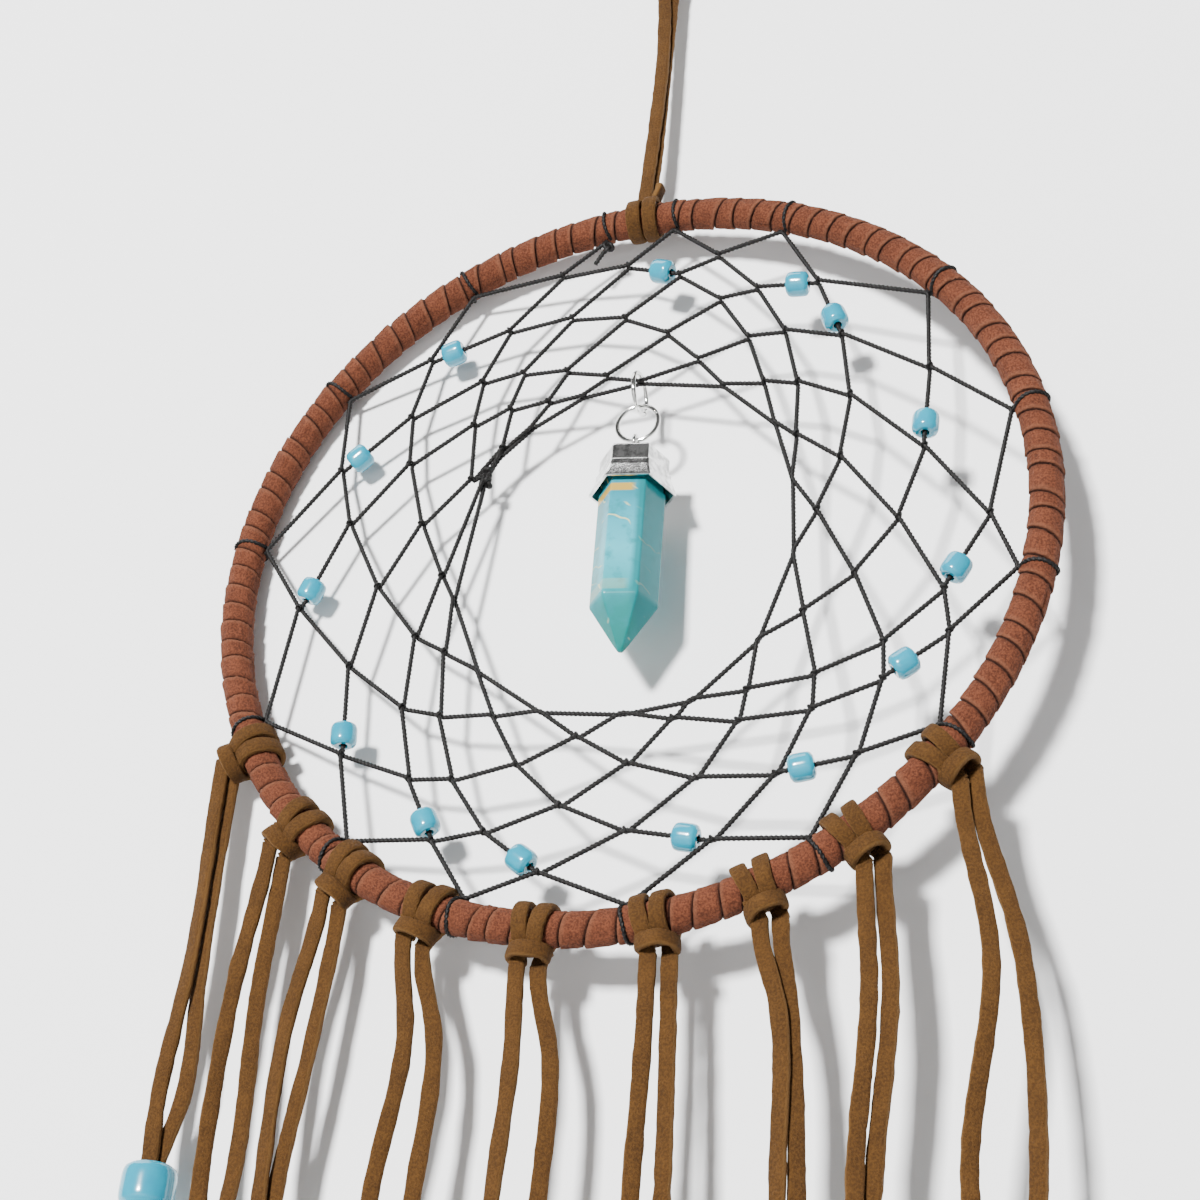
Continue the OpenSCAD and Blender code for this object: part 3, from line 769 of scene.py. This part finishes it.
def stone_colour(nodes, links):
    """The stone's colour from height above the tip and place across it: a ramp of
    teals, broad cloudy patches, cream veins where a slanting, warped wave is near
    its peak, side facets darkened with painted shade, a gold seam on the front,
    and a faint cream band of painted highlight on the front above the shoulder."""
    place = nodes.new("ShaderNodeTexCoord").outputs["Object"]
    split = nodes.new("ShaderNodeSeparateXYZ")
    links.new(place, split.inputs[0])
    cloud = noise_of(nodes, links, 170, 4)
    wobble = nodes.new("ShaderNodeMath")
    wobble.operation = "MULTIPLY_ADD"
    wobble.inputs[1].default_value = 5 * MM
    links.new(cloud, wobble.inputs[0])
    links.new(split.outputs["Z"], wobble.inputs[2])
    height = ranged(nodes, links, wobble.outputs[0], tip_z + 2.5 * MM, foot_z + 2.5 * MM)
    ramp = nodes.new("ShaderNodeValToRGB")
    while len(ramp.color_ramp.elements) < len(stone_stops):
        ramp.color_ramp.elements.new(0.5)
    for element, (position, colour) in zip(ramp.color_ramp.elements, stone_stops):
        element.position = position
        element.color = (*colour, 1)
    links.new(height, ramp.inputs["Fac"])
    patches = ranged(nodes, links, noise_of(nodes, links, 420, 5), 0.5, 0.78)
    tone = colour_mix(nodes, links, patches, ramp.outputs[0], colour_node(nodes, cloud_teal))
    slant = nodes.new("ShaderNodeMapping")
    slant.inputs["Rotation"].default_value = (0.0, math.radians(-33), 0.0)
    links.new(place, slant.inputs["Vector"])
    veins = nodes.new("ShaderNodeTexWave")
    veins.bands_direction = "Z"
    for socket, value in (("Scale", 78), ("Distortion", 7.0), ("Detail", 3.0), ("Detail Scale", 1.2)):
        veins.inputs[socket].default_value = value
    links.new(slant.outputs[0], veins.inputs["Vector"])
    line = ranged(nodes, links, veins.outputs["Fac"], 0.965, 0.998)
    broken = product(nodes, links, line, ranged(nodes, links, noise_of(nodes, links, 210, 2), 0.52, 0.62))
    tone = colour_mix(nodes, links, broken, tone, colour_node(nodes, vein_cream))
    # Painted shade: the facets left and right of the front are darkened by their place across the stone,
    # standing for the shade they turn into.
    for near, far, amount in ((2.4 * MM, 3.4 * MM, 0.85), (-3.2 * MM, -4.4 * MM, 0.55)):
        shaded_facet = ranged(nodes, links, split.outputs["X"], eye_x + near, eye_x + far)
        shaded_facet = product(nodes, links, shaded_facet, amount)
        tone = colour_mix(nodes, links, shaded_facet, tone, colour_node(nodes, side_shade_teal))
    front = ranged(nodes, links, split.outputs["X"], eye_x + 2.6 * MM, eye_x + 1.6 * MM)
    # The first band is the stone's gold seam under the cap; the second, faint and cream, is a painted
    # highlight on the front facet just above the shoulder.
    for low, high, colour, amount in (
            (foot_z - 2.3 * MM, foot_z - 0.9 * MM, (0.42, 0.26, 0.03), 0.9),
            (shoulder_z + 1.0 * MM, shoulder_z + 2.9 * MM, (0.42, 0.40, 0.20), 0.2)):
        rising = ranged(nodes, links, split.outputs["Z"], low - 0.25 * MM, low)
        falling = ranged(nodes, links, split.outputs["Z"], high + 0.25 * MM, high)
        band = product(nodes, links, product(nodes, links, rising, falling), front)
        band = product(nodes, links, band, amount)
        tone = colour_mix(nodes, links, band, tone, colour_node(nodes, colour))
    return tone


polished_stone, nodes, links = blank(
    "polished_stone", Roughness=0.22, Coat_Weight=0.1, Coat_Roughness=0.04, Specular_IOR_Level=0.12,
    Subsurface_Weight=0.05, Subsurface_Scale=0.002)
nodes["Principled BSDF"].inputs["Subsurface Radius"].default_value = (0.3, 1.0, 1.0)
links.new(stone_colour(nodes, links), nodes["Principled BSDF"].inputs["Base Color"])
relief(nodes, links, noise_of(nodes, links, 520, 2), 0.12, 0.00012)
stone = piece("stone_point", [(stone_rings, tube_faces(*stone_rings.shape[:2]))], polished_stone,
              "pendant", "stone")
stone.data.set_sharp_from_angle(angle=math.radians(50))
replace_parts(stone, "pendant_crystal")


# ---- The hanging loop and its hitch ----
# Every lace is cut from a hide of split suede, 3 mm wide and 1.4 mm thick, matt olive
# tan with paler cut edges. One lace is folded over the nail, and its ends go twice
# round the top of the hoop; one cut end stands up beside the turns.
lace_w, lace_t = 3.0 * MM, 1.4 * MM
lace_fill = 0.94  # the visible lace, as a share of the CAD's width
lace_suede = suede("lace_suede", light=(0.074, 0.0325, 0.0068), dark=(0.036, 0.0150, 0.0029),
                   edge=(0.130, 0.064, 0.018), mottle=0.3, bump=0.22 * MM)


def smooth_route(points, spacing, start=None, finish=None):
    """A smooth path through a few points: a cubic Hermite curve on chord length,
    whose slope at an inner point is that of the chord between its neighbours."""
    points = np.array(points, float)
    at = np.concatenate([[0], np.cumsum(np.linalg.norm(np.diff(points, axis=0), axis=1))])
    slope = np.gradient(points, at, axis=0)
    if start is not None:
        slope[0] = start
    if finish is not None:
        slope[-1] = finish
    t = np.linspace(0, at[-1], int(at[-1] / spacing) + 2)
    i = np.clip(np.searchsorted(at, t, side="right") - 1, 0, len(points) - 2)
    h = (at[i + 1] - at[i])[:, None]
    u = (t - at[i])[:, None] / h
    return (
        (2 * u**3 - 3 * u**2 + 1) * points[i] + (u**3 - 2 * u**2 + u) * h * slope[i]
        + (3 * u**2 - 2 * u**3) * points[i + 1] + (u**3 - u**2) * h * slope[i + 1]
    )


def level_width(path, turns):
    """The direction of a lace's width at each point of a path: level, at the given
    turn from X in radians, squared to the path."""
    along = unit(np.gradient(path, axis=0))
    flat = np.stack([np.cos(turns), np.sin(turns), np.zeros(len(path))], axis=1)
    return unit(flat - (flat * along).sum(1, keepdims=True) * along)


def flat_section(count, squareness=0.5):
    """Points of a rounded strip section, half width and half thickness 1: each of
    cosine and sine is raised to a power under one, which squares the ellipse."""
    a = 2 * np.pi * np.arange(count) / count
    c, s = np.cos(a), np.sin(a)
    return np.sign(c) * np.abs(c) ** squareness, np.sign(s) * np.abs(s) ** squareness


def ripple(along, seed, scale, size):
    """A smooth unevenness along a length: five sines of seeded pitch and phase,
    with wavelengths near scale, adding up to about size."""
    random = np.random.default_rng(seed)
    pitches = 2 * np.pi / (scale * random.uniform(0.5, 2.0, 5))
    phases = random.uniform(0, 2 * np.pi, 5)
    return size * np.sin(np.outer(along, pitches) + phases).sum(1) / 2.2


lace_sides = 16
lace_across, lace_through = flat_section(lace_sides)
lace_edge = np.clip((np.abs(lace_across) - 0.86) / 0.14, 0, 1) * 0.75


def lace_strip(path, wide, seed, closed=False):
    """A suede strip along a path, its width along wide: points, faces and its cut
    edges' mask. Its width and its edges wander a little, as hand-cut suede does."""
    step = np.roll(path, -1, 0) - np.roll(path, 1, 0) if closed else np.gradient(path, axis=0)
    thick = unit(np.cross(step, wide))
    along = np.arange(len(path)) * np.linalg.norm(path[1] - path[0])
    half_w = lace_fill * lace_w / 2 * (1 + ripple(along, seed, 9 * MM, 0.04))
    half_t = lace_t / 2 * (1 + ripple(along, seed + 1, 7 * MM, 0.07))
    rough = 1 + 0.02 * np.random.default_rng(seed + 2).standard_normal((len(path), lace_sides))
    across, through = half_w[:, None] * lace_across * rough, half_t[:, None] * lace_through * rough
    points = path[:, None] + across[..., None] * wide[:, None] + through[..., None] * thick[:, None]
    faces = quads(len(path), lace_sides, True) if closed else tube_faces(len(path), lace_sides)
    return points, faces, np.tile(lace_edge, len(path))


loop_route = np.array([
    [0.0, -0.8, 0.8, 0],
    [0.7, -0.8, 18, 0],
    [1.4, -0.8, 46, 0],
    [-0.2, -0.7, 68, 30],
    [-3.6, -0.3, 83, 70],
    [-4.5, 0, 91, 90],
    [0, 0, 95.7, 90],
    [4.5, 0, 91, 90],
    [4.0, 0.3, 83, 70],
    [2.4, 0.7, 68, 30],
    [1.7, 0.8, 46, 0],
    [1.1, 0.8, 18, 0],
    [0.5, 0.8, 0.8, 0]])
loop_foot = -95 * MM
loop_points = loop_route[:, :3] * MM + [0, 0, loop_foot]
loop_path = smooth_route(loop_points, 1.0 * MM, (0, 0, 1), (0, 0, -1))
loop_at = np.concatenate([[0], np.cumsum(np.linalg.norm(np.diff(loop_points, axis=0), axis=1))])
loop_turns = np.radians(np.interp(np.linspace(0, loop_at[-1], len(loop_path)), loop_at, loop_route[:, 3]))
strip, strip_faces, strip_edge = lace_strip(loop_path, level_width(loop_path, loop_turns), 11)
hanger_loop = piece("hanger_loop_lace", [(strip, strip_faces)], lace_suede, "hoop", "lace_suede",
                    attributes={"edge": strip_edge})
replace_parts(hanger_loop, "hanger_loop")


def hoop_frame(angle):
    """The tube's centre at an angle round the hoop, in degrees, and the directions
    outwards, back and along the tube there."""
    out, along = round_hoop(math.radians(angle))
    return hoop_centre + hoop_r * out, out, along


def lace_turn(angle, shift, flare, skew, seed):
    """A closed turn of lace round the bound tube. It lies shift along the tube, and
    flare further on its inner side; skew leans it from front to back."""
    middle, out, along = hoop_frame(angle)
    v = 2 * np.pi * np.arange(56)[:, None] / 56
    spoke = np.cos(v) * out + np.sin(v) * y_axis
    uneven = 0.18 * MM + 0.14 * MM * np.sin(2 * v + seed) + 0.06 * MM * np.sin(3 * v - seed)
    radius = wrap_r + lace_t / 2 + uneven
    path = middle + radius * spoke + (shift - flare * np.cos(v) + skew * np.sin(v)) * along
    return lace_strip(path, along + 0 * path, seed, closed=True)


def knot_lace(angle, stops, wide, seed):
    """A strip through a few places, and with its width along a direction, each given
    outwards, back and along the tube at an angle round the hoop, in millimetres."""
    middle, out, along = hoop_frame(angle)
    turn = np.stack([out, y_axis, along])
    path = smooth_route(middle + np.array(stops) * MM @ turn, 0.5 * MM)
    step = unit(np.gradient(path, axis=0))
    flat = np.array(wide, float) @ turn
    return lace_strip(path, unit(flat - (step @ flat)[:, None] * step), seed)


def lace_piece(name, strips, body):
    """One mesh of several lace strips, with their edges' masks."""
    return piece(name, [strip[:2] for strip in strips], lace_suede, body, "lace_suede",
                 attributes={"edge": np.concatenate([strip[2] for strip in strips])})


hanger_deg = 90
hitch_turns = [
    lace_turn(hanger_deg, -1.65 * MM, 0.05 * MM, 0.25 * MM, 21),
    lace_turn(hanger_deg, 1.65 * MM, -0.05 * MM, 0.25 * MM, 31),
    knot_lace(hanger_deg, [(4.0, -1.3, -2.5), (5.2, -1.5, -3.0), (7.0, -1.5, -3.4)], (0, 1, 0), 41)]
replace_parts(lace_piece("hanger_hitch_lace", hitch_turns, "hoop"), "hanger_hitch")

# ---- The tassels' legs and beads ----
# Each tassel is one folded lace: two legs hang from its knot and both go through
# a barrel-shaped glazed bead, which the squeezed suede holds by friction.
# Each tassel's angle round the hoop, in degrees. Then, at two heights, how far down
# from the knot it is and where the left and right legs pass, in millimetres.
tassel_rows = [
    (209, (40, 0, 1.5), (62, -1.2, 2.5)),
    (224, (26, -3.5, 0.5), (58, -3.5, 1.5)),
    (235, (24, -4.5, 0), (50, -4.5, -2.5)),
    (248, (17, 1, 5.5), (43, -1.5, 5)),
    (263, (16, -1, 5), (40, -2, 5)),
    (278.5, (14, -1.5, 2), (40, -2, 2.5)),
    (291.5, (16, 2, 3.5), (42, 2.5, 5)),
    (304.5, (22, -0.5, 2.5), (50, -2.5, 0)),
    (318.5, (31, 3, 7.5), (66, -1, 8.5))]
leg_y, leg_spread, leg_in_bead = 0.8 * MM, 1.6 * MM, 3 * MM
tassel_bore = 3.4 * MM
# How far a leg twists about its own length, in degrees, and over how many half waves.
leg_twist = [(22, 1.0), (-26, 1.4), (30, 0.8), (-18, 1.2), (24, 1.5),
             (-20, 0.9), (28, 1.1), (-24, 1.3), (20, 1.0)]

for number, (angle, *passes) in enumerate(tassel_rows, 1):
    pivot = np.array(joints[f"tassel_{number}_swing"]["pos_m"])
    low, high = corners(f"tassel_bead_{number}")
    bead_middle, bead_length = (low + high) / 2, high[2] - low[2]
    outline = bead_profile(high[0] - low[0], bead_length, tassel_bore, 0.78)
    bead = piece(f"glazed_bead_{number}", [revolved(outline, bead_middle, z_axis)],
                 turquoise_glass, f"tassel_{number}", "turquoise_bead")
    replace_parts(bead, f"tassel_bead_{number}")
    for leg, side in ((0, -1), (1, 1)):
        head = pivot + side * leg_spread * round_hoop(math.radians(angle))[1]
        middles = [[pivot[0] + places[leg] * MM, side * leg_y, pivot[2] - drop * MM]
                   for drop, *places in passes]
        foot = bead_middle + [0, 0, bead_length / 2 - leg_in_bead]
        stops = [[head[0], side * leg_y, head[2]], *middles, [foot[0], side * leg_y, foot[2]]]
        path = smooth_route(stops, 1.2 * MM, (0, 0, -1), (0, 0, -1))
        share = np.linspace(0, 1, len(path))
        swing, waves = leg_twist[(number + 4 * leg) % len(leg_twist)]
        turns = np.radians(swing) * np.sin(np.pi * share) * np.sin(np.pi * waves * share + leg)
        strip = lace_strip(path, level_width(path, turns), 100 * number + 10 * leg)
        name = f"tassel_{number}_{'right' if leg else 'left'}_leg"
        made = lace_piece(name, [strip], f"tassel_{number}")
        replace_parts(made, f"tassel_lace_{number}")

# ---- The tassels' knots ----
# Each tassel's lace is doubled and tied over the hoop with a lark's head: two turns
# side by side round the binding, and the bight pulled tight round the front of both
# legs below them, where they come out.
bight = np.array([(4.1, 2.2, -1.7), (4.5, 0.6, -2.9), (4.6, -2.1, -2.7), (4.7, -3.5, -1.0),
                  (4.7, -3.5, 1.0), (4.6, -2.1, 2.7), (4.5, 0.6, 2.9), (4.1, 2.2, 1.7)])
bight_lean = np.array([-0.5, -0.5, -0.3, 0, 0, 0.3, 0.5, 0.5])
knot_strips = []
for number, (angle, *_) in enumerate(tassel_rows, 1):
    lean, seed = 1.1 * math.sin(2.4 * number), 1000 + 40 * number
    knot_strips += [
        lace_turn(angle, -1.62 * MM, -0.42 * MM, 0.3 * lean * MM, seed),
        lace_turn(angle, 1.62 * MM, 0.42 * MM, 0.3 * lean * MM, seed + 10),
        knot_lace(angle, bight + np.outer(bight_lean * lean, [1, 0, 0]), (1, -0.25, 0), seed + 20)]
    for side in (-1, 1):
        neck = np.array([(3.0, 2.6, 1.5), (4.8, 1.3, 1.6), (6.6, 0.8, 1.6)]) * [1, side, side]
        knot_strips.append(knot_lace(angle, neck, (0, 0, 1), seed + 30 + side))
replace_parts(lace_piece("tassel_knot_laces", knot_strips, "hoop"), "tassel_knots")

# ---- The feathers ----
# One small goose feather below each tassel bead, dyed turquoise and left cream at its
# downy foot. Its quill is glued up the bead's bore. Each side of the vane is a row of
# barbs that leave the quill together, split apart in places and thin towards the tip.
quill_r, quill_len, vane_len, vane_half = 0.8 * MM, 10 * MM, 70 * MM, 7.5 * MM
barb_w, fluff_w = 0.85 * MM, 0.22 * MM
barbs, strands = 210, 130
slits = 3


def quill_line(s, foot, facing):
    """The quill's centre a share s down the vane: straight down from a bead's foot,
    with a slow bow along the vane towards where it faces."""
    bow = 1.4 * MM * np.sin(np.pi * np.clip(s, 0, 1))
    drop = np.multiply.outer(quill_len + vane_len * s, z_axis)
    return foot - drop + np.multiply.outer(bow, facing)


def ribbons(starts, outs, downs, rises, widths, across):
    """Thin tapered strips in four steps. Step u of a strip lies u of the way out,
    u to the power 1.25 of the way down, and u squared of its rise off the vane; its
    width shrinks to a third and runs along the direction across."""
    u = np.array([0, 0.35, 0.7, 1.0])[None, :, None]
    line = starts[:, None] + u * outs[:, None] + u**1.25 * downs[:, None] + u**2 * rises[:, None]
    half = (widths[:, None, None] * (1 - 0.66 * u)) / 2 * across[:, None]
    points = np.stack([line - half, line + half], 2)
    count = len(starts)
    corner = 8 * np.arange(count)[:, None] + 2 * np.arange(3)[None]
    return points, np.stack([corner, corner + 1, corner + 3, corner + 2], -1).reshape(-1, 4)


def vane_material(name, dyed, deep, cream):
    """Dyed feather: turquoise that varies from barb to barb, and cream where the
    stored value down is 1. A soft sheen stands for its fine hairs."""
    material, nodes, links = blank(name, Roughness=0.7, Sheen_Weight=0.5, Sheen_Roughness=0.35)
    barred = noise_of(nodes, links, 900, 3)
    tone = colour_mix(nodes, links, barred, colour_node(nodes, deep), colour_node(nodes, dyed))
    tone = colour_mix(nodes, links, stored(nodes, "down"), tone, colour_node(nodes, cream))
    links.new(tone, nodes["Principled BSDF"].inputs["Base Color"])
    relief(nodes, links, noise_of(nodes, links, 5200, 2), 0.5, 0.00008)
    return material


dyed_feather = vane_material("dyed_feather", (0.012, 0.26, 0.40), (0.005, 0.13, 0.24), (0.60, 0.56, 0.46))
for number in range(1, len(tassel_rows) + 1):
    random = np.random.default_rng(200 + number)
    low, high = corners(f"feather_{number}")
    foot = np.array([*(low + high)[:2] / 2, corners(f"tassel_bead_{number}")[0][2]])
    turn = math.radians(52 if number % 2 == 0 else -52)
    wide = np.array([math.cos(turn), math.sin(turn), 0])
    facing = np.array([-math.sin(turn), math.cos(turn), 0])
    s = np.sort(random.uniform(0.02, 0.985, barbs)).repeat(2)
    side = np.tile([-1.0, 1.0], barbs)
    outline = np.maximum(0.10, np.sin(np.pi * (0.06 + 0.94 * s) ** 0.8))
    reach = vane_half * outline * random.uniform(0.9, 1.02, 2 * barbs)
    # A few breaks in the vane, where the barbs below close up and leave a slit.
    for slit in random.uniform(0.15, 0.85, slits):
        near = np.exp(-((s - slit - 0.02) / 0.014) ** 2) * (side == random.choice([-1.0, 1.0]))
        reach = reach * (1 - 0.35 * near)
    fall = np.minimum(0.9 * reach + 2.4 * MM, (1 - s) * vane_len + 0.5 * MM)
    starts = quill_line(s, foot, facing)
    outs = (side * reach)[:, None] * wide
    downs = -fall[:, None] * z_axis
    rises = (0.7 * MM * random.uniform(0.3, 1.1, 2 * barbs))[:, None] * facing
    across = unit(0.8 * z_axis + 0.6 * side[:, None] * wide)
    vane, vane_faces = ribbons(starts, outs, downs, rises, np.full(2 * barbs, barb_w), across)
    cream = np.clip(1.15 - 9 * s, 0, 1)
    s_low = random.uniform(-0.05, 0.11, strands)
    spread = random.uniform(-1, 1, (strands, 2)) * [5.2 * MM, 2.6 * MM]
    sinks = -random.uniform(1, 6, strands)[:, None] * MM * z_axis
    fluff, fluff_faces = ribbons(
        quill_line(s_low, foot, facing), spread[:, :1] * wide, sinks, spread[:, 1:] * facing,
        np.full(strands, fluff_w), np.tile(unit(z_axis + 0.5 * facing), (strands, 1)))
    shaft_s = np.linspace(-(quill_len + 3 * MM) / vane_len, 1.0, 60)
    shaft = quill_line(shaft_s, foot, facing)
    radii = quill_r * np.clip(1 - 0.86 * shaft_s, 0.12, 1) * np.clip((1.02 - shaft_s) * 12, 0.3, 1)
    ring = np.array([np.cos(np.arange(8) * np.pi / 4), np.sin(np.arange(8) * np.pi / 4)])
    stem = shaft[:, None] + radii[:, None, None] * (ring[0][:, None] * wide + ring[1][:, None] * facing)
    stem = stem[::-1]
    values = np.concatenate([cream.repeat(8), np.ones(8 * strands), np.full(8 * len(stem), 0.75)])
    parts = [(vane, vane_faces), (fluff, fluff_faces), (stem, tube_faces(len(stem), 8))]
    made = piece(f"dyed_feather_{number}", parts, dyed_feather, f"tassel_{number}", "feather",
                 attributes={"down": values})
    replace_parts(made, f"feather_{number}")

# ---- The finished size ----
low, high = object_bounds()
